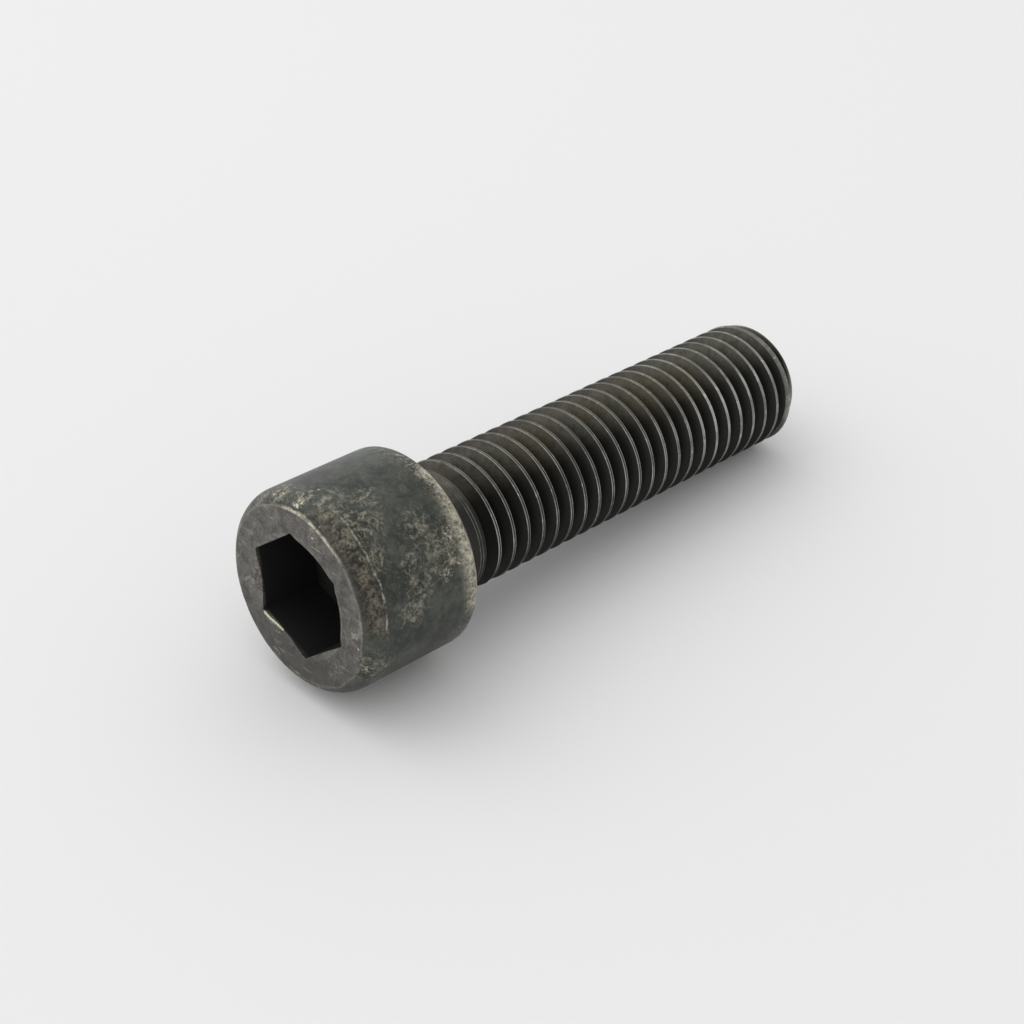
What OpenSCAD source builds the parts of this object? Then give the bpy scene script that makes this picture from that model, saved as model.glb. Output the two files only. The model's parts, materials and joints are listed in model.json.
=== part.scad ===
// Socket head bolt with a fully threaded shank, lying on its side.
// The origin is the centre of the bearing face under the head, +X runs towards the tip and +Z is up.

/* [Head] */
// Diameter of the head
head_d = 18; // [16:0.5:24]
// Height of the head, from the bearing face to the front face
head_h = 12; // [10:0.5:16]
// Width of the rounded front edge, measured across the head
front_edge_w = 1; // [0.4:0.1:1.4]
// Length of the rounded front edge, measured along the head
front_edge_l = 1.8; // [1.5:0.1:3]
// Radius of the rim round the bearing face
rear_edge_r = 0.8; // [0.3:0.1:1.2]

/* [Socket] */
// Width of the hexagonal socket across its flats
socket_af = 10; // [8:0.5:11]
// Depth of the socket to the end of its flats
socket_depth = 6; // [4.5:0.25:7]
// Width of the conical mouth outside the flats
socket_mouth = 0.55; // [0.3:0.05:1]
// Height of the cone in the socket's floor
socket_cone = 1.2; // [0.5:0.1:1.6]
// Width of the ledge between the flats and the floor's cone
socket_ledge = 0.5; // [0.2:0.1:1]
// Turn of the socket about the bolt's axis, in degrees
socket_turn = 5; // [0:1:59]

/* [Shank] */
// Length of the shank under the head
shank_l = 45; // [30:1:60]
// Length of the plain neck under the head
neck_l = 3; // [2:0.1:5]
// Depth of the neck below the thread's crests
neck_step = 0.5; // [0.2:0.05:0.8]
// Length of the cone that brings the neck up to the crests
neck_cone_l = 1.6; // [1:0.1:2.5]
// Radius of the fillet between the head and the neck
fillet_r = 0.6; // [0.3:0.1:1]
// Length of the chamfer at the tip
tip_chamfer = 0.75; // [0.6:0.05:1.3]

/* [Thread] */
// Diameter over the thread's crests
thread_d = 11.9; // [11:0.05:13]
// Distance from one crest to the next
pitch = 1.75; // [1.25:0.05:2]
// Length over which the groove fades in at the neck
runout_l = 2.1; // [1.5:0.1:2.5]
// Turn of the thread about the bolt's axis, in degrees
thread_turn = 55; // [0:1:359]

/* [Rest] */
// Turn of the whole bolt about its axis as it lies, in degrees
lie_turn = 45; // [0:1:359]

/* [Hidden] */
$fn = 96;

// Room by which a cut passes the surface it opens
over = 0.5;

head_r = head_d / 2;
crest_r = thread_d / 2;

// The front edge is an arc that leaves the head's side smoothly and meets the front face at a corner
front_arc_r = (front_edge_w ^ 2 + front_edge_l ^ 2) / (2 * front_edge_w);

// Thread form: 60 degree flanks, a crest flat of an eighth of the pitch and a root flat of a sixth
flank_angle = 30;
crest_flat = pitch / 8;
root_flat = pitch / 6;
thread_h = (pitch - crest_flat - root_flat) / (2 * tan(flank_angle));
root_r = crest_r - thread_h;

// The neck keeps the diameter that the blank had before its thread was rolled
neck_r = crest_r - neck_step;

// The groove fades in over the neck, is full where the crests are, and runs out past the tip
groove_full = neck_l + neck_cone_l;
groove_start = groove_full - runout_l;
groove_end = shank_l + pitch;
groove_steps = 24;
groove_count = ceil((groove_end - groove_start) / pitch * groove_steps);
// Room between the groove's open side and the crests, and between its first bottom and the neck
groove_clear = 0.03;
groove_top_r = crest_r / cos(180 / groove_steps) + groove_clear;
groove_first_r = neck_r + groove_clear;

// The bolt lies on the head's rim and on the last crest: the angle that its axis slopes down to the tip
rest_run = shank_l - tip_chamfer + rear_edge_r;
rest_rise = head_r - rear_edge_r - crest_r;
lie_angle = atan2(rest_rise, rest_run) + asin(rear_edge_r / norm([rest_run, rest_rise]));

// Half of the head's section, with the bearing face at zero and the front face below it
module head_section() {
    side_l = head_h - front_edge_l - rear_edge_r;
    translate([0, -rear_edge_r - side_l]) square([head_r, side_l]);
    // Rim round the bearing face, reaching into the side
    translate([0, -rear_edge_r - over]) square([head_r - rear_edge_r, rear_edge_r + over]);
    intersection() {
        translate([head_r - rear_edge_r, -rear_edge_r]) circle(rear_edge_r);
        translate([0, -rear_edge_r - over]) square([head_r, rear_edge_r + over]);
    }
    // Rounded front edge, reaching into the side
    translate([0, -head_h]) intersection() {
        square([head_r, front_edge_l + over]);
        union() {
            translate([head_r - front_arc_r, front_edge_l]) circle(front_arc_r);
            square([head_r - front_arc_r, front_edge_l + over]);
        }
    }
}

// Half of the shank's section before the groove is cut, with the fillet at the bearing face
module shank_section() {
    tip_r = crest_r - tip_chamfer;
    polygon([
        [0, -over],
        [neck_r, -over],
        [neck_r, neck_l],
        [crest_r, neck_l + neck_cone_l],
        [crest_r, shank_l - tip_chamfer],
        [tip_r, shank_l],
        [0, shank_l]
    ]);
    difference() {
        square([neck_r + fillet_r, fillet_r]);
        translate([neck_r + fillet_r, fillet_r]) circle(fillet_r);
    }
}

// Bottom radius of the groove at a height along the shank
function groove_bottom(z) =
    let (full = min(1, (z - groove_start) / runout_l))
    groove_first_r + (root_r - groove_first_r) * full;

// The four corners of the groove's section at one step along the helix
function groove_corners(step) =
    let (
        z = groove_start + step / groove_steps * pitch,
        turn = thread_turn + 360 * z / pitch,
        bottom = groove_bottom(z),
        low = root_flat / 2,
        top = low + (groove_top_r - bottom) * tan(flank_angle)
    )
    [
        for (corner = [[groove_top_r, -top], [bottom, -low], [bottom, low], [groove_top_r, top]])
            [corner[0] * cos(turn), corner[0] * sin(turn), z + corner[1]]
    ];

// Helical V groove of the thread, right-handed
module thread_groove() {
    points = [for (step = [0:groove_count]) each groove_corners(step)];
    sides = [
        for (step = [0:groove_count - 1], side = [0:3])
            let (
                a = 4 * step + side,
                b = 4 * step + (side + 1) % 4,
                c = b + 4,
                d = a + 4
            )
            each [[a, c, b], [a, d, c]]
    ];
    last = 4 * groove_count;
    ends = [[0, 1, 2, 3], [last + 3, last + 2, last + 1, last]];
    polyhedron(points, concat(sides, ends));
}

// Hexagonal socket with its conical mouth and floor, opening at the front face
module socket() {
    corner_r = socket_af / 2 / cos(30);
    floor_r = socket_af / 2 - socket_ledge;
    mouth_r = socket_af / 2 + socket_mouth;
    translate([0, 0, -head_h]) {
        rotate([0, 0, socket_turn]) translate([0, 0, -over])
            cylinder(h = socket_depth + over, r = corner_r, $fn = 6);
        translate([0, 0, -over])
            cylinder(h = mouth_r + over, r1 = mouth_r + over, r2 = 0);
        // Floor, a cone inside the ledge at the end of the flats
        rotate_extrude() polygon([
            [0, socket_depth - over],
            [floor_r, socket_depth - over],
            [floor_r, socket_depth],
            [0, socket_depth + socket_cone]
        ]);
    }
}

// The whole bolt is one piece of dark steel
module bolt() {
    color([0.24, 0.25, 0.23])
        rotate([0, 90 + lie_angle, 0]) rotate([0, 0, lie_turn])
            difference() {
                rotate_extrude() {
                    head_section();
                    shank_section();
                }
                thread_groove();
                socket();
            }
}

bolt();
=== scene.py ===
"""A worn black steel bolt with a hexagonal socket, lying on its side on a pale floor in soft light."""
import json
import logging
import math
from dataclasses import dataclass, field
from enum import Enum
from functools import partial
from typing import Callable

import bmesh
import bpy
from mathutils import Matrix, Vector, noise


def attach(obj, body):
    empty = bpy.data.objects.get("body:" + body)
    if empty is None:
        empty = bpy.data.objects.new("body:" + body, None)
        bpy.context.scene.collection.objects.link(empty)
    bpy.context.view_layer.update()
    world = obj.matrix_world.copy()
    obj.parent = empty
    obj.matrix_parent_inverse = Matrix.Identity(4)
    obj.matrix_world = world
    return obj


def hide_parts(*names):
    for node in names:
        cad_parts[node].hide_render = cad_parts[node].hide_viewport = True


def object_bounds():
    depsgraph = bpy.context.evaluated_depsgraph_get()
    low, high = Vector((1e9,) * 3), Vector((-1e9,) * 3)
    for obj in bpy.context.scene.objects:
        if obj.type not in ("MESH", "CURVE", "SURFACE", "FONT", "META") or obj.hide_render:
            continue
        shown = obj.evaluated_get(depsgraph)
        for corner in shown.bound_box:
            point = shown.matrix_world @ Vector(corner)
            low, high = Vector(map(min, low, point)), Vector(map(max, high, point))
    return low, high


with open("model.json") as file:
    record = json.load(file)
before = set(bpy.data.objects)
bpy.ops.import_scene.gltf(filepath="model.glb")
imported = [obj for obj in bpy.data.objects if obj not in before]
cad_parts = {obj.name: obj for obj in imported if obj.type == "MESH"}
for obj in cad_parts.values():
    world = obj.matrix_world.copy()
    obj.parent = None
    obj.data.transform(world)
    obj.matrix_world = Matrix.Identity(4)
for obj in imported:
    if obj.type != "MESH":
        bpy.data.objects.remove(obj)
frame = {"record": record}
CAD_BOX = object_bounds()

LOG = logging.getLogger("bolt")
MM = 0.001
FULL_TURN = 360.0
QUARTER_TURN = 90.0
HEX_SIDES = 6

# Options that many shader nodes share
SMOOTH = {"interpolation_type": "SMOOTHSTEP"}
TIMES = {"operation": "MULTIPLY"}
PLUS = {"operation": "ADD"}
MINUS = {"operation": "SUBTRACT"}
UNSIGNED = {"operation": "ABSOLUTE"}
MOST = {"operation": "MAXIMUM"}
RGBA = {"data_type": "RGBA"}

Mesh = bmesh.types.BMesh
Edges = list[bmesh.types.BMEdge]
Triple = tuple[float, float, float]
Socket = bpy.types.NodeSocket
Section = Callable[[float], tuple[float, float]]


class Row(Enum):
    """What a line of points along the thread belongs to, by its distance from the crest's middle in mm."""

    SEAM = 0.0
    SEAM_WALL = 0.045
    CREST = 0.09
    CREST_EDGE = 0.13
    SHOULDER = 0.17
    UPPER_FLANK = 0.27
    FLANK = 0.45
    LOWER_FLANK = 0.66
    ROOT_EDGE = 0.77


def linear(hex_colour: str) -> tuple[float, float, float, float]:
    """Turn an sRGB colour into the linear one that a shader takes.

    Args:
        hex_colour: six hexadecimal digits, with or without a leading hash.

    Returns:
        Red, green, blue and an alpha of 1, in linear light.
    """
    digits = hex_colour.lstrip("#")
    shares = [int(digits[i:i + 2], 16) / 255 for i in (0, 2, 4)]
    bright = [s / 12.92 if s <= 0.04045 else ((s + 0.055) / 1.055) ** 2.4 for s in shares]
    return (*bright, 1.0)


def add_node(tree: bpy.types.NodeTree, kind: str, inputs: dict | tuple = (), **settings) -> Socket:
    """Add one shader node, set its options and fill or link its inputs.

    Args:
        tree: the tree that takes the node.
        kind: the node's type, without the ShaderNode in front.
        inputs: a value or a socket to link for each input, in order or by name or index.
        settings: the node's own options.

    Returns:
        The node's first live output, or None where it has none.
    """
    node = tree.nodes.new("ShaderNode" + kind)
    for name, value in settings.items():
        setattr(node, name, value)
    for key, value in inputs.items() if isinstance(inputs, dict) else enumerate(inputs):
        if isinstance(value, Socket):
            tree.links.new(value, node.inputs[key])
        else:
            node.inputs[key].default_value = value
    live = [socket for socket in node.outputs if socket.enabled]
    return live[0] if live else None


def grow(mesh: Mesh, ring: Edges) -> Edges:
    """Extrude an open ring of edges, leaving the new ring in the old one's place.

    Args:
        mesh: the mesh that the ring belongs to.
        ring: the edges of the ring.

    Returns:
        The edges of the new ring.
    """
    grown = bmesh.ops.extrude_edge_only(mesh, edges=ring)["geom"]
    return [e for e in grown if isinstance(e, bmesh.types.BMEdge) and e.is_boundary]


def points(ring: Edges) -> set[bmesh.types.BMVert]:
    """The points of a ring of edges."""
    return {vert for edge in ring for vert in edge.verts}


@dataclass
class ThreadedShank:
    """The shank from its plain neck to the chamfered tip, with a rolled right-hand thread.

    Lengths are in mm along the axis from the bearing face, angles in degrees about it. The nick
    waves are noise, given by frequency and share, that dents the crests where its sum is high.
    """

    crest_r: float
    length: float = 45.0
    pitch: float = 1.75
    depth: float = 1.0735
    crest_half: float = 0.15
    flank_angle: float = 30.0
    neck_end: float = 3.0
    neck_step: float = 0.5
    full_from: float = 4.6
    fade_l: float = 2.1
    chamfer: float = 0.75
    turn: float = 100.0
    first_angle: float = 50.0
    steps: int = 120
    spare_turns: int = 2
    weld: float = 1e-4
    seam_depth: float = 0.05
    edge_break: float = 0.012
    edge_reach: float = 0.01
    nick_depth: float = 0.07
    nick_level: float = 0.22
    nick_span: float = 0.4
    nick_waves: tuple[tuple[float, float], ...] = ((0.55, 0.6), (1.7, 0.4))

    @property
    def neck_r(self) -> float:
        """Radius of the plain neck under the head."""
        return self.crest_r - self.neck_step

    @property
    def start(self) -> float:
        """Where the groove begins to show, at the end of the plain neck."""
        return self.full_from - self.fade_l

    def outer(self, z: float) -> float:
        """Radius of the blank before the groove is rolled in.

        Args:
            z: height along the shank.

        Returns:
            The radius in mm, with the neck, its cone and the chamfer.
        """
        if z < self.full_from:
            rise = max(0.0, (z - self.neck_end) / (self.full_from - self.neck_end))
            return self.neck_r + self.neck_step * rise
        return self.crest_r - max(0.0, z - self.length + self.chamfer)

    def from_crest(self, angle: float, z: float) -> float:
        """Distance along the axis from a point to the middle of the nearest crest, in mm."""
        share = (z / self.pitch - (angle - self.turn) / FULL_TURN) % 1.0
        return abs(share - 0.5) * self.pitch

    def radius(self, angle: float, z: float) -> float:
        """Radius of the threaded surface.

        Args:
            angle: degrees about the axis.
            z: height along the shank.

        Returns:
            The radius in mm, with the run-out, the seam on the crest and the chamfer.
        """
        away = self.from_crest(angle, z)
        sunk = max(0.0, away - self.crest_half) / math.tan(math.radians(self.flank_angle))
        full = min(1.0, max(0.0, (z - self.start) / self.fade_l))
        bottom = self.neck_r + (self.crest_r - self.depth - self.neck_r) * full
        groove = bottom + self.depth - min(sunk, self.depth)
        seam = self.seam_depth * max(0.0, 1.0 - away / Row.CREST.value) * full
        worn = self.nicks(angle, z) if away < Row.SHOULDER.value else 0.0
        edge = self.edge_break if abs(away - Row.CREST_EDGE.value) < self.edge_reach else 0.0
        return min(self.outer(z) - seam - worn - edge, groove)

    def nicks(self, angle: float, z: float) -> float:
        """Depth of the small dents knocked into the crests.

        Args:
            angle: degrees about the axis.
            z: height along the shank.

        Returns:
            The depth in mm, zero over most of the thread.
        """
        turned = math.radians(angle)
        place = Vector((math.cos(turned), math.sin(turned), 0.0)) * self.crest_r + Vector((0.0, 0.0, z))
        knock = sum(noise.noise(place * often) * share for often, share in self.nick_waves)
        return self.nick_depth * max(0.0, knock - self.nick_level) / self.nick_span

    def build(self, mesh: Mesh) -> tuple[Edges, Edges]:
        """Spin the thread's line of points into a helix and shape it.

        Args:
            mesh: takes the thread's surface, open at the neck and at the tip.

        Returns:
            The edges of the ring at the neck and of the ring at the tip.
        """
        half = self.pitch / 2
        offsets = [0.0]
        offsets += [half - row.value for row in reversed(Row)]
        offsets += [half + row.value for row in Row if row is not Row.SEAM]
        offsets.append(self.pitch)
        turns = math.ceil((self.length - self.start) / self.pitch) + self.spare_turns
        base = math.floor(self.start / self.pitch) * self.pitch - self.pitch
        base += self.pitch * (self.first_angle - self.turn) / FULL_TURN
        facing = Matrix.Rotation(math.radians(self.first_angle), 4, "Z")
        line = [mesh.verts.new(facing @ Vector((self.crest_r, 0.0, base + o))) for o in offsets]
        edges = [mesh.edges.new(pair) for pair in zip(line, line[1:])]
        bmesh.ops.spin(
            mesh, geom=line + edges, axis=(0.0, 0.0, 1.0), cent=(0.0, 0.0, 0.0),
            dvec=(0.0, 0.0, self.pitch / self.steps), angle=math.tau, steps=self.steps,
        )
        one_turn = mesh.verts[:] + mesh.edges[:] + mesh.faces[:]
        for turn in range(1, turns):
            copied = bmesh.ops.duplicate(mesh, geom=one_turn)["geom"]
            moved = [item for item in copied if isinstance(item, bmesh.types.BMVert)]
            bmesh.ops.translate(mesh, verts=moved, vec=(0.0, 0.0, self.pitch * turn))
        self.shape(mesh, offsets)
        bmesh.ops.remove_doubles(mesh, verts=mesh.verts[:], dist=self.weld)
        rims = [edge for edge in mesh.edges if edge.is_boundary]
        neck = [e for e in rims if e.verts[0].co.z < self.length / 2]
        tip = [e for e in rims if e.verts[0].co.z > self.length / 2]
        return neck, tip

    def shape(self, mesh: Mesh, offsets: list[float]) -> None:
        """Snap each point to its row and step, hold it between neck and tip, and set its radius.

        Args:
            mesh: the helix as it was spun.
            offsets: the rows' heights within one pitch.
        """
        step = FULL_TURN / self.steps
        for vert in mesh.verts:
            angle = math.degrees(math.atan2(vert.co.y, vert.co.x))
            angle = self.first_angle + round((angle - self.first_angle) / step) * step
            lead = self.pitch * (angle - self.turn) / FULL_TURN
            turns, rest = divmod(vert.co.z - lead, self.pitch)
            nearest = min(offsets, key=lambda o: abs(o - rest))
            z = lead + turns * self.pitch + nearest
            z = min(max(z, self.start), self.length)
            r = self.radius(angle, z)
            turned = math.radians(angle)
            vert.co = (r * math.cos(turned), r * math.sin(turned), z)


@dataclass
class SocketHead:
    """The round head with its hexagonal socket, from the neck's ring to the socket's floor.

    Lengths are in mm, with the bearing face at zero and the front face below it. The radius is a little under
    the nominal 9, so that the smooth head stays inside the box of the CAD's faceted one. The face's edge
    wanders by waves of noise, given by frequency, share and seed. The tuples of shares place the rings.
    """

    radius: float = 8.994
    height: float = 12.0
    front_edge_w: float = 1.0
    front_edge_l: float = 1.8
    rear_edge_r: float = 0.8
    fillet_r: float = 0.6
    socket_af: float = 10.0
    socket_depth: float = 6.0
    mouth: float = 0.55
    mouth_slope: float = 0.5
    mouth_below: float = 0.12
    wall_from: float = 0.9
    cone_h: float = 1.2
    ledge: float = 0.5
    socket_turn: float = 50.0
    break_edge: float = 0.06
    wander: float = 0.05
    wander_fade: float = 3.0
    waves: tuple[Triple, ...] = ((2.5, 1.0, 3.0), (7.0, 0.6, 12.0))
    fillet_steps: int = 6
    edge_steps: int = 8
    flat_shares: tuple[float, ...] = (0.06, 0.5, 0.94)
    side_shares: tuple[float, ...] = (0.05, 0.2, 0.35, 0.5, 0.65, 0.8, 0.95)
    face_shares: tuple[float, ...] = (0.03, 0.3, 0.6, 0.94)
    wall_shares: tuple[float, ...] = (0.5, 0.95, 1.0)
    cone_shares: tuple[float, ...] = (0.0, 0.5, 0.94)

    def hexagon(self, angle: float, inset: float = 0.0) -> float:
        """Distance from the axis to the socket's wall.

        Args:
            angle: degrees about the axis.
            inset: how far inside the wall to measure, in mm.

        Returns:
            The distance in mm.
        """
        side = FULL_TURN / HEX_SIDES
        share = (angle - self.socket_turn) % side - side / 2
        return (self.socket_af / 2 - inset) / math.cos(math.radians(share))

    def wavy(self, angle: float) -> float:
        """How far the worn edge of the face wanders.

        Args:
            angle: degrees about the axis.

        Returns:
            The distance outwards in mm.
        """
        turned = math.radians(angle)
        ring = Vector((math.cos(turned), math.sin(turned), 0.0))
        wave = 0.0
        for often, share, seed in self.waves:
            wave += noise.noise(ring * often + Vector((0.0, 0.0, seed))) * share
        return self.wander * wave

    def rings(self, neck_r: float, neck_z: float) -> list[Section]:
        """The head's rings in order, from the neck over the head and down into the socket.

        Args:
            neck_r: radius of the neck that the head grows from.
            neck_z: height of the ring that the head grows from.

        Returns:
            One function per ring, from an angle in degrees to a radius and a height.
        """
        front = -self.height
        rear = self.rear_edge_r
        face_r = self.radius - self.front_edge_w
        mouth_r = self.socket_af / 2 + self.mouth
        arc_r = (self.front_edge_w ** 2 + self.front_edge_l ** 2) / (2 * self.front_edge_w)
        corner = math.acos((arc_r - self.front_edge_w) / arc_r)
        made: list[Section] = []

        def plain(r: float, z: float) -> None:
            """Add a round ring of one radius and height."""
            made.append(lambda angle: (r, z))

        def opening(angle: float) -> float:
            """Radius of the socket's mouth in the front face."""
            return max(mouth_r, self.hexagon(angle, -self.break_edge))

        # Neck, fillet and bearing face
        plain(neck_r, (neck_z + self.fillet_r) / 2)
        for step in range(self.fillet_steps + 1):
            swing = math.radians(QUARTER_TURN * step / self.fillet_steps)
            plain(
                neck_r + self.fillet_r * (1 - math.cos(swing)), self.fillet_r * (1 - math.sin(swing))
            )
        flat = neck_r + self.fillet_r
        for share in self.flat_shares:
            plain(flat + (self.radius - rear - flat) * share, 0.0)
        # Rim, side and rounded front edge
        for step in range(self.edge_steps + 1):
            swing = math.radians(QUARTER_TURN * step / self.edge_steps)
            plain(self.radius - rear + rear * math.sin(swing), rear * (math.cos(swing) - 1))
        side = self.height - self.front_edge_l - rear
        for share in self.side_shares:
            plain(self.radius, -rear - side * share)
        for step in range(self.edge_steps + 1):
            stray = step / self.edge_steps
            r = self.radius - arc_r + arc_r * math.cos(corner * stray)
            z = front + self.front_edge_l - arc_r * math.sin(corner * stray)
            made.append(lambda angle, r=r, z=z, stray=stray: (r + stray * self.wavy(angle), z))
        # Front face and the socket's mouth
        for share in self.face_shares:
            stray = max(0.0, 1 - share * self.wander_fade)
            made.append(
                lambda angle, share=share, stray=stray: (
                    face_r + stray * self.wavy(angle) + (opening(angle) - face_r) * share, front
                )
            )
        made.append(lambda angle: (opening(angle), front))
        for below in (0.0, self.mouth_below):
            made.append(lambda angle, below=below: self.mouth_edge(angle, mouth_r, below))
        # Walls and floor of the socket
        for share in self.wall_shares:
            z = front + self.wall_from + (self.socket_depth - self.wall_from) * share
            made.append(lambda angle, z=z: (self.hexagon(angle), z))
        floor_r = self.socket_af / 2 - self.ledge
        for share in self.cone_shares:
            plain(floor_r * (1 - share), front + self.socket_depth + self.cone_h * share)
        return made

    def mouth_edge(self, angle: float, mouth_r: float, below: float) -> tuple[float, float]:
        """Where the conical mouth meets the socket's wall, or a little below it.

        Args:
            angle: degrees about the axis.
            mouth_r: radius of the mouth in the front face.
            below: how far below the edge, in mm.

        Returns:
            The radius and the height in mm.
        """
        wall = self.hexagon(angle)
        deep = max(self.break_edge, (mouth_r - wall) * self.mouth_slope)
        return wall, -self.height + deep + below

    def build(self, mesh: Mesh, ring: Edges, neck_r: float, neck_z: float) -> None:
        """Extrude the head ring by ring from the neck, and close the socket's floor.

        Args:
            mesh: takes the head.
            ring: the edges of the neck's ring.
            neck_r: radius of that ring.
            neck_z: height of that ring.
        """
        for section in self.rings(neck_r, neck_z):
            ring = grow(mesh, ring)
            for vert in points(ring):
                turned = math.atan2(vert.co.y, vert.co.x)
                r, z = section(math.degrees(turned))
                vert.co = (r * math.cos(turned), r * math.sin(turned), z)
        apex = Vector((0.0, 0.0, -self.height + self.socket_depth + self.cone_h))
        bmesh.ops.pointmerge(mesh, verts=list(points(ring)), merge_co=apex)


@dataclass(frozen=True)
class Patch:
    """A spot on the bolt: its angle in degrees, radius, height and reach in mm."""

    angle: float
    radius: float
    along: float
    reach: float

    @property
    def centre(self) -> Triple:
        """The spot's middle in the bolt's own axes, in mm."""
        turned = math.radians(self.angle)
        return self.radius * math.cos(turned), self.radius * math.sin(turned), self.along


Spots = tuple[Patch, ...]


@dataclass(frozen=True)
class Place:
    """Where a shaded point is on the bolt, as shader sockets in mm.

    It holds the helper that adds nodes to the material's tree, the bolt's own axes, the height along the
    axis and over the front face, the distance out from the axis, the share by which the point faces up, its
    distance from the middle of the nearest crest, and the patterns that several areas share.
    """

    add: Callable[..., Socket]
    axis: Socket
    along: Socket
    front: Socket
    out: Socket
    up: Socket
    away: Socket
    fine: Socket
    blot: Socket
    mottle: Socket
    slow: Socket


@dataclass(frozen=True)
class Grain:
    """A cloudy pattern: the size of its blots in mm, and how fine, rough and swirled it is."""

    size: float
    detail: float = 6.0
    roughness: float = 0.65
    swirl: float = 0.0

    def on(self, at: Socket) -> dict:
        """The inputs of a noise node that draws the pattern at a place."""
        return {
            "Vector": at, "Scale": 1 / self.size, "Detail": self.detail,
            "Roughness": self.roughness, "Distortion": self.swirl,
        }


@dataclass(frozen=True)
class Span:
    """A step from a low to a high value, taken as some measure goes from a start to an end."""

    start: float = 0.0
    end: float = 1.0
    low: float = 0.0
    high: float = 1.0

    def of(self, measure: Socket) -> tuple:
        """The inputs of a map range node that takes the step."""
        return measure, self.start, self.end, self.low, self.high


@dataclass(frozen=True)
class Rub:
    """How a rubbed area breaks up: its spots, the level by nearness, the share of fine grit, and the step.

    A pattern mixed with grit shows where it rises over the level, which is lower near the spots.
    """

    spots: Spots
    level: Span
    grit: float
    show: Span


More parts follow.
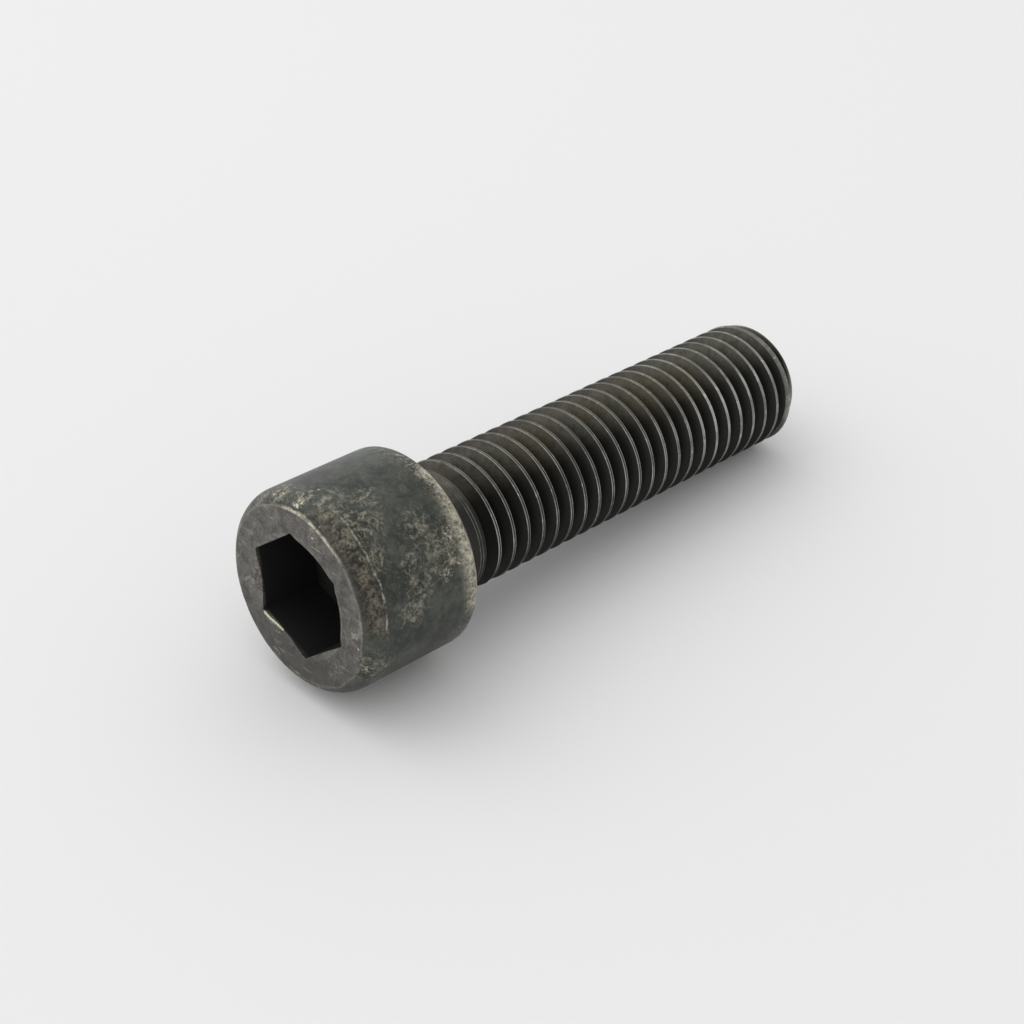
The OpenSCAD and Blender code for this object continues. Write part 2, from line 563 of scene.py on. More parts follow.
@dataclass(frozen=True)
class BlackSteel:
    """Hardened steel with a black oxide skin, oiled and handled.

    The skin is a dark greenish grey and soft in its gloss; where it has rubbed off, on crests, rims and
    scuffs, the bare steel under it is pale and warm, and old oil has left brown stains. A span's name
    ends with its measure in a place, such as along or out; the other spans are taken of a pattern, of the
    nearness to some spots or of a distance off a line.
    """

    head_h: float
    face_r: float
    band_l: float
    mouth_r: float
    lie: float
    # Gloss, bump and the film of oil
    metallic: float = 0.92
    gloss: Span = Span(0.3, 0.7, 0.48, 0.64)
    bare_gloss: float = 0.42
    bump: float = 0.5
    bump_h: float = 0.04
    film: float = 0.28
    film_gloss: float = 0.3
    # Colours
    skin_dark: str = "#343834"
    skin_light: str = "#545750"
    scuffed: str = "#989382"
    face_dark: str = "#464441"
    face_light: str = "#7d7973"
    scratched: str = "#b3aea3"
    bare: str = "#d6cfba"
    crest_bare: str = "#d3d2cc"
    stain: str = "#26231d"
    stain_light: str = "#8d8474"
    # Dark flank colour below: oil, and painted shade in the grooves
    flank_oil_and_shade: str = "#2a2925"
    # Paler flank colour below: painted light on the flanks' upper side
    flank_painted_light: str = "#59554b"
    olive: str = "#4c442f"
    # Flat dark grey inside the socket: painted shade of the recess
    socket: str = "#3c3c3c"
    # Patterns
    clouds: Grain = Grain(3.2, 3.0, 0.55)
    mottles: Grain = Grain(0.9, 9.0, 0.72, 0.2)
    blots: Grain = Grain(0.6, 9.0, 0.74, 0.25)
    wisps: Grain = Grain(1.5, 5.0, 0.65, 0.7)
    smears: Grain = Grain(0.5, 8.0, 0.7, 0.55)
    streaks: Grain = Grain(1.0, 3.0, 0.6)
    specks_fine: Grain = Grain(0.24, 5.0, 0.7)
    face_clouds: Grain = Grain(1.2, 9.0, 0.74, 0.5)
    slow: Grain = Grain(3.5, 3.0, 0.5)
    # Share of a spot's reach over which it is at its strongest
    spot_core: float = 0.2
    # Oxide skin
    slant: Triple = (0.7, 0.4, 0.5)
    stretch: Triple = (5.0, 0.5, 5.0)
    streak_show: Span = Span(0.62, 0.72)
    skin_tone: Span = Span(0.78, 1.28)
    hair_show: Span = Span(0.02, 0.003)
    hair_gaps: Span = Span(0.44, 0.6, 0.0, 0.55)
    hair_near: Span = Span(low=0.3)
    scratch_near: Span = Span(low=0.15, high=0.7)
    side_scuffs: Rub = Rub(
        (
            Patch(176, 8.8, -10.6, 2.2), Patch(190, 9.0, -9.6, 3.2), Patch(207, 9.0, -8.8, 3.4),
            Patch(226, 9.0, -9.6, 2.6), Patch(212, 8.7, -10.8, 2.0), Patch(232, 8.7, -10.8, 2.0),
            Patch(196, 9.0, -6.8, 2.4), Patch(234, 9.0, -6.4, 2.4), Patch(238, 9.0, -3.2, 4.4),
            Patch(222, 9.0, -4.6, 3.0), Patch(246, 9.0, -6.2, 3.4), Patch(160, 8.6, -10.9, 2.6),
            Patch(143, 8.5, -11.2, 2.2), Patch(262, 9.0, -7.4, 2.6), Patch(290, 8.7, -11.0, 3.4),
            Patch(60, 9.0, -7.0, 3.2), Patch(20, 9.0, -3.5, 3.4), Patch(110, 9.0, -4.0, 2.8),
            Patch(330, 9.0, -8.5, 2.6),
        ),
        Span(low=0.66, high=0.52), 0.28, Span(-0.06, 0.09, 0.0, 0.85),
    )
    # Front face and the socket's mouth
    face_tone: Span = Span(0.38, 0.64)
    # The front face darkens towards its lower side: painted shade
    face_painted_shade_up: Span = Span(-0.2, -0.95, 1.0, 0.35)
    face_scratch: float = 0.5
    face_front: Span = Span(0.05, 0.01)
    mouth_front: Span = Span(0.45, 0.35)
    mouth_out: Span = Span(6.0, 5.9)
    mouth_strip: float = 0.05
    mouth_pale: float = 0.35
    face_scuffs: Rub = Rub(
        (
            Patch(75, 6.5, -12.0, 1.8), Patch(318, 6.6, -12.0, 2.0), Patch(120, 7.0, -12.0, 1.6),
            Patch(20, 6.9, -12.0, 1.8), Patch(268, 7.2, -12.0, 1.8), Patch(195, 7.4, -12.0, 1.4),
        ),
        Span(low=0.64, high=0.52), 0.4, Span(-0.03, 0.1, 0.0, 0.6),
    )
    # Flanks of the thread, the seam on its crests and the neck
    # The flanks' upper side is paler: painted light from above
    flank_painted_light_up: Span = Span(0.72, 0.99, 0.0, 0.9)
    flank_painted_light_gaps: Span = Span(0.3, 0.6, 0.35, 1.0)
    flank_away: Span = Span(0.14, 0.2)
    seam_away: Span = Span(0.09, 0.06)
    seam_along: Span = Span(20.0, 36.0, 1.0, 0.1)
    shank_along: Span = Span(-0.05, 0.1)
    shank_out: Span = Span(6.3, 6.1)
    end_out: Span = Span(4.75, 4.85)
    # Stains in the band of the rounded front edge, and on the thread
    band_spots: Spots = (
        Patch(196, 8.6, -11.3, 2.4), Patch(209, 8.6, -11.2, 2.8), Patch(222, 8.7, -11.1, 3.0),
        Patch(235, 8.7, -11.1, 3.0), Patch(247, 8.7, -11.2, 2.8), Patch(258, 8.6, -11.4, 2.4),
    )
    band_past: float = 0.7
    band_full: float = 0.9
    band_front: Span = Span(0.03, 0.3)
    band_grit: float = 0.45
    band_tone: Span = Span(0.43, 0.59)
    band_dark_front: Span = Span(0.4, 1.1, 0.45, 1.0)
    band_share: float = 0.74
    thread_spots: Spots = (
        Patch(190, 5.6, 27.5, 4.5), Patch(188, 5.6, 13.5, 4.0), Patch(200, 5.6, 32.0, 3.5),
        Patch(185, 5.6, 21.5, 3.0), Patch(60, 5.6, 18.0, 4.0), Patch(100, 5.6, 34.0, 3.0),
    )
    thread_gaps: Span = Span(0.58, 0.44)
    thread_share: float = 0.8
    # Lines rubbed along the face's edge and the band's outer end, and a painted glint along the socket's
    # mouth
    line_spots: Spots = (
        Patch(176, 8.0, -12.0, 2.2), Patch(190, 8.0, -12.0, 2.8), Patch(206, 8.0, -12.0, 2.6),
    )
    line_gaps: Span = Span(0.38, 0.58, 0.25, 1.0)
    line_stray: Span = Span(0.3, 0.7, -0.2, 0.2)
    line_width: Span = Span(0.2, 0.02)
    line_front: Span = Span(0.9, 0.6)
    line_near: Span = Span(low=0.16, high=0.85)
    end_width: Span = Span(0.16, 0.02)
    end_near: Span = Span(0.0, 0.6, 0.08, 0.5)
    end_gaps: Span = Span(0.44, 0.58)
    glint_front: Span = Span(0.4, 0.3)
    glint_spots: Spots = (
        Patch(47, 5.63, -11.95, 0.34), Patch(44, 5.47, -11.94, 0.36), Patch(41, 5.35, -11.9, 0.36),
        Patch(38, 5.25, -11.86, 0.34), Patch(35, 5.17, -11.82, 0.32), Patch(32, 5.1, -11.78, 0.3),
        Patch(29, 5.05, -11.76, 0.28), Patch(26, 5.02, -11.74, 0.24),
    )
    # Rim round the bearing face
    rim_along: Span = Span(-2.4, -0.6)
    rim_out: Span = Span(8.0, 8.4)
    rim_rubs: Rub = Rub(
        (
            Patch(198, 8.7, -0.3, 1.6), Patch(211, 8.7, -0.3, 1.8), Patch(224, 8.8, -0.5, 2.4),
            Patch(236, 8.8, -0.8, 3.2), Patch(247, 8.8, -0.9, 3.6), Patch(259, 8.8, -0.7, 2.8),
            Patch(272, 8.8, -0.5, 2.2), Patch(80, 8.8, -0.5, 3.0), Patch(10, 8.8, -0.6, 2.4),
        ),
        Span(low=0.57, high=0.46), 0.45, Span(-0.11, 0.14, 0.0, 0.9),
    )
    # Crests of the thread and the edge of the tip
    bare_along: Span = Span(0.0, 0.5)
    wider_along: Span = Span(42.4, 44.2, 0.0, -0.22)
    crest_away: Span = Span(0.175, 0.135)
    parting_away: Span = Span(0.1, 0.07)
    parting_along: Span = Span(20.0, 36.0, 0.95, 0.15)
    crest_patches: Span = Span(0.34, 0.66, 0.28, 0.75)
    crest_beads: Span = Span(0.53, 0.63, 0.0, 0.6)
    crest_top_up: Span = Span(0.6, 0.97, 1.0, 0.4)
    crest_low_up: Span = Span(0.15, -0.5, 1.0, 0.35)
    crest_end_along: Span = Span(42.4, 44.2, 1.0, 0.7)
    crest_start_along: Span = Span(3.6, 5.0, 0.2, 1.0)
    tip_along: Span = Span(44.6, 44.9, 0.0, 0.4)
    tip_out: Span = Span(4.9, 5.1)
    # Small knocks on the head
    knock_gap: float = 1.1
    knock_size: Span = Span(0.14, 0.04)
    knock_few: Span = Span(0.72, 0.95)
    knock_along: Span = Span(0.0, -0.2)
    knock_crowds: Rub = Rub(
        (
            Patch(176, 8.4, -11.2, 1.6), Patch(158, 8.4, -11.3, 1.8), Patch(244, 8.9, -2.0, 2.6),
            Patch(250, 9.0, -3.6, 1.8), Patch(232, 8.9, -1.8, 2.0), Patch(290, 8.5, -11.2, 1.6),
        ),
        Span(low=0.8, high=0.5), 0.5, Span(-0.01, 0.1, 0.0, 0.8),
    )
    # Inside of the socket, where a flat dark grey is painted shade
    socket_out: Span = Span(5.95, 5.85)
    socket_front: Span = Span(0.35, 0.5)
    socket_along: Span = Span(-3.9, -4.1)

    def material(self) -> bpy.types.Material:
        """Build the finish in the bolt's own axes, in mm.

        Returns:
            The finished material.
        """
        made = bpy.data.materials.new("black_oxide_steel")
        made.use_nodes = True
        made.node_tree.nodes.clear()
        place = self.place(made.node_tree)
        add = place.add
        scratch = self.scratches(place)
        colour = self.skin(place, scratch)
        colour = self.front(place, colour, scratch)
        colour = self.shank(place, colour)
        colour = self.stains(place, colour)
        worn = self.wear(place)
        past = add("MapRange", self.bare_along.of(place.along))
        bare = add("Mix", {0: past, 6: linear(self.bare), 7: linear(self.crest_bare)}, **RGBA)
        colour = add("Mix", {0: worn, 6: colour, 7: bare}, **RGBA)
        # Painted shade: a flat dark grey over the socket's walls and floor
        inside = self.inside(place)
        colour = add("Mix", {0: inside, 6: colour, 7: linear(self.socket)}, **RGBA)
        gloss = add("MapRange", self.gloss.of(place.fine))
        gloss = add("Mix", {0: worn, 2: gloss, 3: self.bare_gloss})
        bump = add("Bump", {"Strength": self.bump, "Distance": self.bump_h * MM, "Height": place.fine})
        shader = add(
            "BsdfPrincipled",
            {
                "Base Color": colour, "Metallic": self.metallic, "Roughness": gloss, "Normal": bump,
                "Coat Weight": self.film, "Coat Roughness": self.film_gloss,
            },
        )
        add("OutputMaterial", {"Surface": shader})
        return made

    def place(self, tree: bpy.types.NodeTree) -> Place:
        """Work out a shaded point's place on the bolt.

        Args:
            tree: the material's node tree.

        Returns:
            The sockets that give the place.
        """
        add = partial(add_node, tree)
        at = add("TexCoord").node.outputs["Object"]
        turn = (0.0, -math.radians(QUARTER_TURN + self.lie), 0.0)
        axis = add("Mapping", {"Vector": at, "Rotation": turn, "Scale": (1 / MM,) * 3})
        parts = add("SeparateXYZ", (axis,)).node.outputs
        front = add("Math", (parts["Z"], self.head_h), **PLUS)
        flat = add("VectorMath", (axis, (1.0, 1.0, 0.0)), **TIMES)
        out = add("VectorMath", (flat,), operation="LENGTH")
        up = add("Math", (parts["X"], out), operation="DIVIDE")
        up = add("Math", (up, -1.0), **TIMES)
        away = add("Attribute", attribute_name="from_crest").node.outputs["Fac"]
        shared = (self.specks_fine, self.blots, self.mottles, self.slow)
        patterns = [add("TexNoise", grain.on(axis)) for grain in shared]
        return Place(add, axis, parts["Z"], front, out, up, away, *patterns)

    def near(self, place: Place, spots: Spots) -> Socket:
        """Mark the surroundings of some spots.

        Args:
            place: the shaded point.
            spots: the spots.

        Returns:
            A share from 0 to 1 that is highest at a spot's middle.
        """
        add = place.add
        share = None
        for spot in spots:
            gap = add("VectorMath", (place.axis, spot.centre), operation="DISTANCE")
            reach = Span(spot.reach, self.spot_core * spot.reach)
            close = add("MapRange", reach.of(gap), **SMOOTH)
            share = add("Math", (share, close), **MOST) if share else close
        return share

    def overlap(self, place: Place, *steps: tuple, **how) -> Socket:
        """Mark where several steps are all taken.

        Args:
            place: the shaded point.
            steps: the inputs of each step.
            how: the options of the steps' nodes.

        Returns:
            The product of the steps.
        """
        share = 1.0
        for step in steps:
            taken = place.add("MapRange", step, **how)
            share = place.add("Math", (share, taken), **TIMES)
        return share

    def rubbed(self, place: Place, rub: Rub, near: Socket, pattern: Socket) -> Socket:
        """Break a rubbed area up into grains.

        Args:
            place: the shaded point.
            rub: how the area breaks up.
            near: the nearness to its spots.
            pattern: the pattern of its grains.

        Returns:
            The rubbed share.
        """
        add = place.add
        rough = add("Mix", {0: rub.grit, 2: pattern, 3: place.fine})
        level = add("MapRange", rub.level.of(near))
        over = add("Math", (rough, level), **MINUS)
        return add("MapRange", rub.show.of(over), **SMOOTH)

    def scratches(self, place: Place) -> Socket:
        """Draw short fine scratches, slanting across the bolt.

        Args:
            place: the shaded point.

        Returns:
            The share of scratched skin.
        """
        add = place.add
        slanted = add("Mapping", {"Vector": place.axis, "Rotation": self.slant, "Scale": self.stretch})
        streak = add("TexNoise", self.streaks.on(slanted))
        return add("MapRange", self.streak_show.of(streak), **SMOOTH)

    def skin(self, place: Place, scratch: Socket) -> Socket:
        """Colour the oxide skin: dark clouds, wispy hairlines and paler scuffs.

        Args:
            place: the shaded point.
            scratch: the share of scratched skin.

        Returns:
            The skin's colour.
        """
        add = place.add
        cloud = add("TexNoise", self.clouds.on(place.axis))
        tone = add("Math", (cloud, place.mottle), **PLUS)
        tone = add("MapRange", self.skin_tone.of(tone), **SMOOTH)
        shades = {6: linear(self.skin_dark), 7: linear(self.skin_light)}
        colour = add("Mix", {0: tone, **shades}, **RGBA)
        near = self.near(place, self.side_scuffs.spots)
        smear = add("TexNoise", self.smears.on(place.axis))
        pale = self.rubbed(place, self.side_scuffs, near, smear)
        # Hairlines, where a wispy pattern crosses its middle value
        wisp = add("TexNoise", self.wisps.on(place.axis))
        middle = add("Math", (wisp, 0.5), **MINUS)
        middle = add("Math", (middle,), **UNSIGNED)
        hair = self.overlap(place, self.hair_show.of(middle), self.hair_gaps.of(place.mottle), **SMOOTH)
        often = add("MapRange", self.hair_near.of(near))
        hair = add("Math", (hair, often), **TIMES)
        thin = add("MapRange", self.scratch_near.of(near))
        thin = add("Math", (scratch, thin), **TIMES)
        for share in (hair, thin):
            pale = add("Math", (pale, share), **MOST)
        return add("Mix", {0: pale, 6: colour, 7: linear(self.scuffed)}, **RGBA)

    def front(self, place: Place, colour: Socket, scratch: Socket) -> Socket:
        """Lay the warm grey of the front face over the skin, with painted shade towards the face's lower
        side.

        Args:
            place: the shaded point.
            colour: the skin's colour.
            scratch: the share of scratched skin.

        Returns:
            The colour with the front face in it.
        """
        add = place.add
        cloud = add("TexNoise", self.face_clouds.on(place.axis))
        rough = add("Mix", {0: self.face_scuffs.grit, 2: cloud, 3: place.fine})
        tone = add("MapRange", self.face_tone.of(rough), **SMOOTH)
        # Painted shade: the face's tone falls towards its lower side
        shade = add("MapRange", self.face_painted_shade_up.of(place.up), **SMOOTH)
        tone = add("Math", (tone, shade), **TIMES)
        shades = {6: linear(self.face_dark), 7: linear(self.face_light)}
        face = add("Mix", {0: tone, **shades}, **RGBA)
        faint = add("Math", (scratch, self.face_scratch), **TIMES)
        scuff = self.rubbed(place, self.face_scuffs, self.near(place, self.face_scuffs.spots), cloud)
        faint = add("Math", (faint, scuff), **MOST)
        face = add("Mix", {0: faint, 6: face, 7: linear(self.scratched)}, **RGBA)
        # Pale strip round the socket's mouth
        width = Span(self.mouth_r + self.mouth_strip, self.mouth_r)
        strip = add("MapRange", width.of(place.out))
        for share in (self.mouth_pale, tone):
            strip = add("Math", (strip, share), **TIMES)
        face = add("Mix", {0: strip, 6: face, 7: linear(self.scratched)}, **RGBA)
        on_face = add("MapRange", self.face_front.of(place.front))
        mouth = self.overlap(place, self.mouth_front.of(place.front), self.mouth_out.of(place.out))
        on_face = add("Math", (on_face, mouth), **MOST)
        return add("Mix", {0: on_face, 6: colour, 7: face}, **RGBA)

    def shank(self, place: Place, colour: Socket) -> Socket:
        """Darken the flanks and the neck, for oil and painted shade, and paint light on the flanks' upper
        side.

        Args:
            place: the shaded point.
            colour: the colour so far.

        Returns:
            The colour with the dark shank in it.
        """
        add = place.add
        # Painted light: the flanks turn paler where they face up
        painted_light = self.overlap(place, self.flank_painted_light_up.of(place.up), self.flank_painted_light_gaps.of(place.mottle), **SMOOTH)
        flank = add("Mix", {0: painted_light, 6: linear(self.flank_oil_and_shade), 7: linear(self.flank_painted_light)}, **RGBA)
        seam = self.overlap(place, self.seam_away.of(place.away), self.seam_along.of(place.along), **SMOOTH)
        # Flanks and neck darkened: their oil, and painted shade in the grooves
        dark = add("MapRange", self.flank_away.of(place.away), **SMOOTH)
        dark = add("Math", (dark, seam), **MOST)
        on_shank = self.overlap(
            place, self.end_out.of(place.out), self.shank_along.of(place.along), self.shank_out.of(place.out)
        )
        dark = add("Math", (dark, on_shank), **TIMES)
        return add("Mix", {0: dark, 6: colour, 7: flank}, **RGBA)

    def stains(self, place: Place, colour: Socket) -> Socket:
        """Put dark oil stains on the front edge and olive ones on the thread.

        Args:
            place: the shaded point.
            colour: the colour so far.

        Returns:
            The stained colour.
        """
        add = place.add
        rough = add("Mix", {0: self.band_grit, 2: place.blot, 3: place.fine})
        tone = add("MapRange", self.band_tone.of(rough), **SMOOTH)
        outer = add("MapRange", self.band_dark_front.of(place.front))
        tone = add("Math", (tone, outer), **TIMES)
        brown = add("Mix", {0: tone, 6: linear(self.stain), 7: linear(self.stain_light)}, **RGBA)
        width = Span(self.band_l + self.band_past, self.band_full)
        band = add("MapRange", width.of(place.front), **SMOOTH)
        off_face = add("MapRange", self.band_front.of(place.front))
        for share in (off_face, self.near(place, self.band_spots), self.band_share):
            band = add("Math", (band, share), **TIMES)
        colour = add("Mix", {0: band, 6: colour, 7: brown}, **RGBA)
        thread = self.near(place, self.thread_spots)
        gaps = add("MapRange", self.thread_gaps.of(place.blot), **SMOOTH)
        for share in (gaps, self.thread_share):
            thread = add("Math", (thread, share), **TIMES)
        return add("Mix", {0: thread, 6: colour, 7: linear(self.olive)}, **RGBA)

    def wear(self, place: Place) -> Socket:
        """Mark where the skin has rubbed through to bare steel, and the painted glint at the socket's mouth.

        Args:
            place: the shaded point.

        Returns:
            The share of bare steel.
        """
        worn = self.edge_lines(place)
        for more in (self.rim(place), self.crests(place), self.knocks(place)):
            worn = place.add("Math", (worn, more), **MOST)
        return worn

    def edge_lines(self, place: Place) -> Socket:
        """Rub thin lines along the face's edge and the front edge's outer end, and paint a glint along the
        socket's mouth.

        Args:
            place: the shaded point.

        Returns:
            The share of bare steel in the lines.
        """
        add = place.add
        stray = add("MapRange", self.line_stray.of(place.slow))
        # Edge of the face, strong at the top and faint elsewhere
        off = add("Math", (place.out, stray), **PLUS)
        off = add("Math", (off, self.face_r), **MINUS)
        off = add("Math", (off,), **UNSIGNED)
        line = self.overlap(place, self.line_width.of(off), self.line_gaps.of(place.blot), **SMOOTH)
        near = self.near(place, self.line_spots)
        strong = self.overlap(place, self.line_front.of(place.front), self.line_near.of(near))
        line = add("Math", (line, strong), **TIMES)
        # Outer end of the front edge, thin and broken
        off = add("Math", (place.front, stray), **PLUS)
        off = add("Math", (off, self.band_l), **MINUS)
        off = add("Math", (off,), **UNSIGNED)
        end = self.overlap(place, self.end_width.of(off), self.end_gaps.of(place.blot), **SMOOTH)
        strong = add("MapRange", self.end_near.of(self.near(place, self.band_spots)))
        end = add("Math", (end, strong), **TIMES)
        # Edge of the socket's mouth: a painted glint, laid on as bare steel
        glint = add("MapRange", self.glint_front.of(place.front))
        glint = add("Math", (glint, self.near(place, self.glint_spots)), **TIMES)
        for more in (end, glint):
            line = add("Math", (line, more), **MOST)
        return line

    def rim(self, place: Place) -> Socket:
        """Rub the rim round the bearing face.

        Args:
            place: the shaded point.

        Returns:
            The share of bare steel on the rim.
        """
        rim = self.overlap(place, self.rim_along.of(place.along), self.rim_out.of(place.out), **SMOOTH)
        worn = self.rubbed(place, self.rim_rubs, self.near(place, self.rim_rubs.spots), place.blot)
        return place.add("Math", (rim, worn), **TIMES)

    def crests(self, place: Place) -> Socket:
        """Rub the crests: two thin lines with a dark seam between them, closing up towards the tip.

        Args:
            place: the shaded point.

        Returns:
            The share of bare steel on the crests.
        """
        add = place.add
        wider = add("MapRange", self.wider_along.of(place.along), **SMOOTH)
        away = add("Math", (place.away, wider), **PLUS)
        crest = add("MapRange", self.crest_away.of(away), **SMOOTH)
        parting = self.overlap(
            place, self.parting_away.of(place.away), self.parting_along.of(place.along), **SMOOTH
        )
        whole = add("Math", (1.0, parting), **MINUS)
        patchy = add("MapRange", self.crest_patches.of(place.slow), **SMOOTH)
        beads = add("MapRange", self.crest_beads.of(place.blot), **SMOOTH)
        patchy = add("Math", (patchy, beads), **PLUS)
        fading = self.overlap(
            place, self.crest_top_up.of(place.up), self.crest_low_up.of(place.up),
            self.crest_end_along.of(place.along), self.crest_start_along.of(place.along), **SMOOTH,
        )
        for share in (whole, patchy, fading):
            crest = add("Math", (crest, share), **TIMES)
        edge = self.overlap(place, self.tip_along.of(place.along), self.tip_out.of(place.out), **SMOOTH)
        return add("Math", (crest, edge), **MOST)

    def knocks(self, place: Place) -> Socket:
        """Scatter small bright knocks over the head, and crowd them on its most scuffed spots.

        Args:
            place: the shaded point.

        Returns:
            The share of bare steel in the knocks.
        """
        add = place.add
        cells = add("TexVoronoi", {"Vector": place.axis, "Scale": 1 / self.knock_gap}).node
        dots = add("MapRange", self.knock_size.of(cells.outputs["Distance"]), **SMOOTH)
        pick = add("SeparateColor", (cells.outputs["Color"],)).node.outputs["Red"]
        few = self.overlap(place, self.knock_few.of(pick), self.knock_along.of(place.along))
        dots = add("Math", (dots, few), **TIMES)
        near = self.near(place, self.knock_crowds.spots)
        crowd = self.rubbed(place, self.knock_crowds, near, place.blot)
        return add("Math", (dots, crowd), **MOST)

    def inside(self, place: Place) -> Socket:
        """Mark the socket's walls and floor, which take a flat dark grey as painted shade.

        Args:
            place: the shaded point.

        Returns:
            The share of painted shade.
        """
        return self.overlap(
            place, self.socket_out.of(place.out), self.socket_front.of(place.front),
            self.socket_along.of(place.along),
        )


@dataclass
class Bolt:
    """The whole bolt: one solid of steel, lying on its head's rim and its last crest.

    The dish in its end face is given by rings, each with its share of the face's radius and its depth in mm.
    """

    axis: Vector
    shank: ThreadedShank
    head: SocketHead = field(default_factory=SocketHead)
    dish: tuple[tuple[float, float], ...] = ((0.97, 0.0), (0.8, 0.0), (0.7, 0.12), (0.05, 0.3))
    root_gap: float = 0.01
    sharp_angle: float = 28.0

    @property
    def lie(self) -> float:
        """How far the axis slopes down to the tip, in degrees."""
        return math.degrees(math.atan2(-self.axis.z, self.axis.x))

    def build(self) -> bpy.types.Object:
        """Build the bolt's mesh about its own axis and lay it down.

        Returns:
            The bolt, placed in the frame by its mesh.
        """
        shank = self.shank
        mesh = bmesh.new()
        neck, tip = shank.build(mesh)
        self.head.build(mesh, neck, shank.neck_r, shank.start)
        self.close_tip(mesh, tip)
        bmesh.ops.recalc_face_normals(mesh, faces=mesh.faces[:])
        from_crest = mesh.verts.layers.float.new("from_crest")
        for vert in mesh.verts:
            angle = math.degrees(math.atan2(vert.co.y, vert.co.x))
            end_face = vert.co.xy.length < shank.crest_r - shank.depth - self.root_gap
            threaded = vert.co.z > shank.start and not end_face
            vert[from_crest] = shank.from_crest(angle, vert.co.z) if threaded else shank.pitch / 2
        laid = Matrix.Rotation(math.radians(QUARTER_TURN + self.lie), 4, "Y") @ Matrix.Scale(MM, 4)
        bmesh.ops.transform(mesh, matrix=laid, verts=mesh.verts[:])
        data = bpy.data.meshes.new("bolt_steel")
        mesh.to_mesh(data)
        mesh.free()
        data.shade_smooth()
        data.set_sharp_from_angle(angle=math.radians(self.sharp_angle))
        made = bpy.data.objects.new("bolt_steel", data)
        bpy.context.scene.collection.objects.link(made)
        return made

    def close_tip(self, mesh: Mesh, ring: Edges) -> None:
        """Close the tip with a shallow dish, as thread rolling leaves it.

        Args:
            mesh: the bolt's mesh.
            ring: the edges of the tip's ring.
        """
        for share, deep in self.dish:
            ring = grow(mesh, ring)
            limit = (self.shank.crest_r - self.shank.chamfer) * share
            for vert in points(ring):
                r = math.hypot(vert.co.x, vert.co.y)
                factor = min(limit, r) / r
                vert.co = (vert.co.x * factor, vert.co.y * factor, self.shank.length - deep)
        apex = Vector((0.0, 0.0, self.shank.length - deep))
        bmesh.ops.pointmerge(mesh, verts=list(points(ring)), merge_co=apex)

    def dress(self, made: bpy.types.Object) -> None:
        """Give the bolt its finish and tie it to the frame.

        Args:
            made: the bolt as built.
        """
        head = self.head
        finish = BlackSteel(
            head_h=head.height, face_r=head.radius - head.front_edge_w, band_l=head.front_edge_l,
            mouth_r=head.socket_af / 2 + head.mouth, lie=self.lie,
        )
        made.data.materials.append(finish.material())
        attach(made, "root")
        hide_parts("bolt")


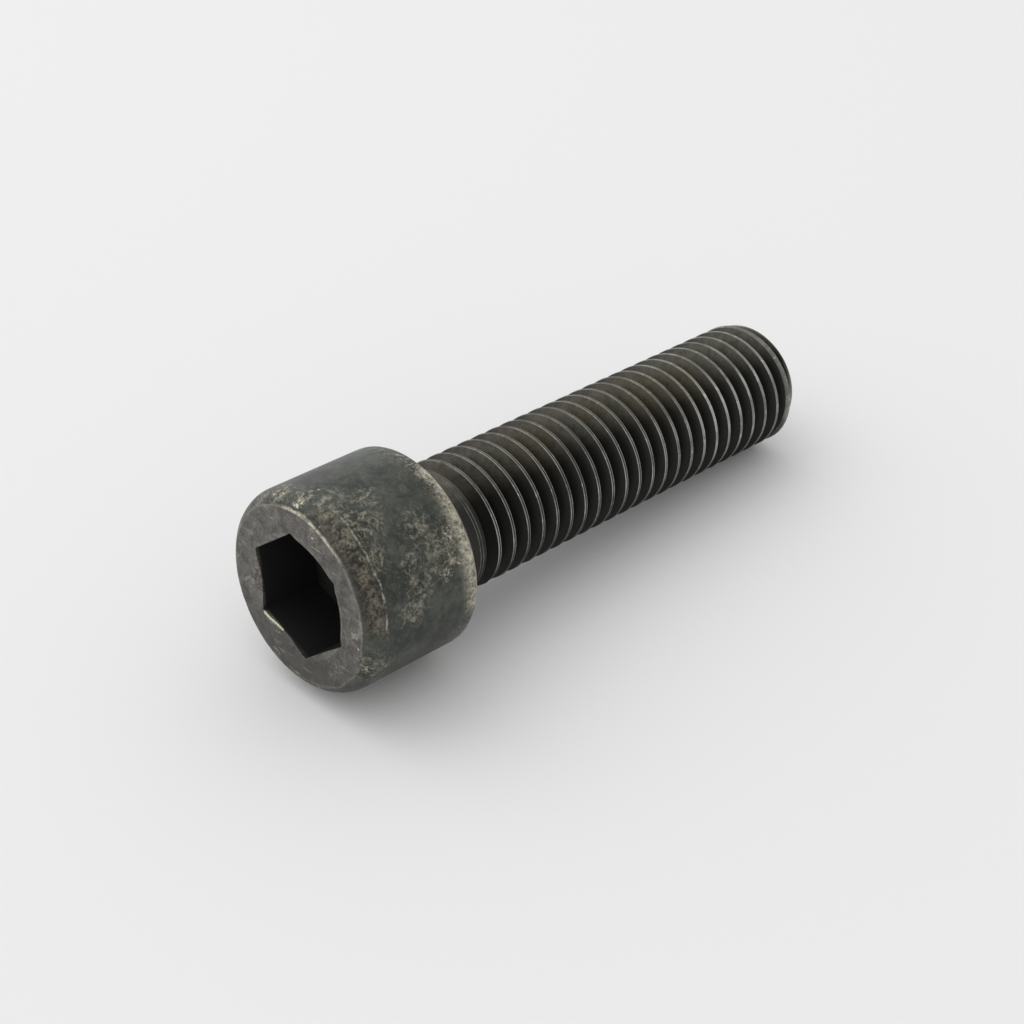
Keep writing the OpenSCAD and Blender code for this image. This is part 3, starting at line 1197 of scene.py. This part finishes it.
@dataclass
class Studio:
    """The pale floor, the soft light and the camera, in mm and degrees.

    The room is brighter behind the bolt; the camera sees it at one level, which hides the floor's far edge.
    """

    ground: float
    aim: Triple = (7.422, -5.041, 2.276)
    heading: float = 45.28
    look_down: float = 35.78
    roll: float = 0.553
    distance: float = 178.93
    lens: float = 74.43
    sensor: float = 36.0
    nearest: float = 10.0
    floor_half: float = 9000.0
    floor_colour: str = "#e9e9e9"
    floor_roughness: float = 0.9
    floor_specular: float = 0.1
    key_place: Triple = (-120.0, 330.0, 480.0)
    key_size: float = 520.0
    key_watts: float = 0.55
    behind: Triple = (-0.35, 0.85, 0.4)
    room: Span = Span(-0.6, 0.9, 0.64, 1.14)
    horizon: float = 0.78

    def build(self) -> None:
        """Set up the floor, the light and the camera."""
        self.floor()
        self.key()
        self.world()
        self.camera()
        bpy.context.scene.view_settings.view_transform = "Standard"

    def floor(self) -> None:
        """Lay a wide pale sheet under the bolt."""
        mesh = bmesh.new()
        bmesh.ops.create_grid(mesh, x_segments=1, y_segments=1, size=self.floor_half * MM)
        bmesh.ops.translate(mesh, vec=(0.0, 0.0, self.ground), verts=mesh.verts[:])
        data = bpy.data.meshes.new("floor")
        mesh.to_mesh(data)
        mesh.free()
        floor = bpy.data.objects.new("floor", data)
        bpy.context.scene.collection.objects.link(floor)
        made = bpy.data.materials.new("matt_paper")
        made.use_nodes = True
        tree = made.node_tree
        tree.nodes.clear()
        shader = add_node(
            tree, "BsdfPrincipled",
            {
                "Base Color": linear(self.floor_colour), "Roughness": self.floor_roughness,
                "Specular IOR Level": self.floor_specular,
            },
        )
        add_node(tree, "OutputMaterial", {"Surface": shader})
        data.materials.append(made)

    def key(self) -> None:
        """Hang one large soft lamp behind the bolt."""
        lamp = bpy.data.lights.new("soft_key", "AREA")
        lamp.shape = "DISK"
        lamp.size = self.key_size * MM
        lamp.energy = self.key_watts
        key = bpy.data.objects.new("soft_key", lamp)
        place = Vector(self.key_place) * MM
        key.matrix_world = Matrix.Translation(place) @ place.to_track_quat("Z", "Y").to_matrix().to_4x4()
        bpy.context.scene.collection.objects.link(key)

    def world(self) -> None:
        """Light the room, brighter behind the bolt than before it."""
        world = bpy.data.worlds.new("studio")
        world.use_nodes = True
        bpy.context.scene.world = world
        tree = world.node_tree
        tree.nodes.clear()
        facing = add_node(tree, "TexCoord").node.outputs["Generated"]
        behind = Vector(self.behind).normalized()
        share = add_node(tree, "VectorMath", (facing, behind), operation="DOT_PRODUCT")
        level = add_node(tree, "MapRange", self.room.of(share), **SMOOTH)
        seen = add_node(tree, "LightPath").node.outputs["Is Camera Ray"]
        level = add_node(tree, "Mix", {0: seen, 2: level, 3: self.horizon})
        back = add_node(tree, "Background", {"Color": (1.0, 1.0, 1.0, 1.0), "Strength": level})
        add_node(tree, "OutputWorld", {"Surface": back})

    def camera(self) -> None:
        """Place the camera where the picture was taken from."""
        turn, down = math.radians(self.heading), math.radians(self.look_down)
        forward = Vector((math.cos(turn) * math.cos(down), math.sin(turn) * math.cos(down), -math.sin(down)))
        right = Vector((math.sin(turn), -math.cos(turn), 0.0))
        right.rotate(Matrix.Rotation(-math.radians(self.roll), 3, forward))
        up = right.cross(forward)
        eye = (Vector(self.aim) - forward * self.distance) * MM
        data = bpy.data.cameras.new("camera")
        data.lens = self.lens
        data.sensor_width = self.sensor
        data.clip_start = self.nearest * MM
        made = bpy.data.objects.new("camera", data)
        made.matrix_world = Matrix.Translation(eye) @ Matrix((right, up, -forward)).transposed().to_4x4()
        bpy.context.scene.collection.objects.link(made)
        bpy.context.scene.camera = made


def main() -> None:
    """Build the bolt and the studio, and log the bolt's face count."""
    logging.basicConfig(level=logging.INFO, format="%(name)s: %(message)s")
    mounts = {mount["name"]: mount for mount in frame["record"]["mounts"]}
    bolt = Bolt(
        axis=Vector(mounts["bearing_face"]["axis"]),
        shank=ThreadedShank(crest_r=mounts["thread"]["dims"]["r_mm"]),
    )
    piece = bolt.build()
    bolt.dress(piece)
    LOG.info("%s: %d faces", piece.name, len(piece.data.polygons))
    Studio(ground=CAD_BOX[0][2]).build()


if __name__ == "__main__":
    main()
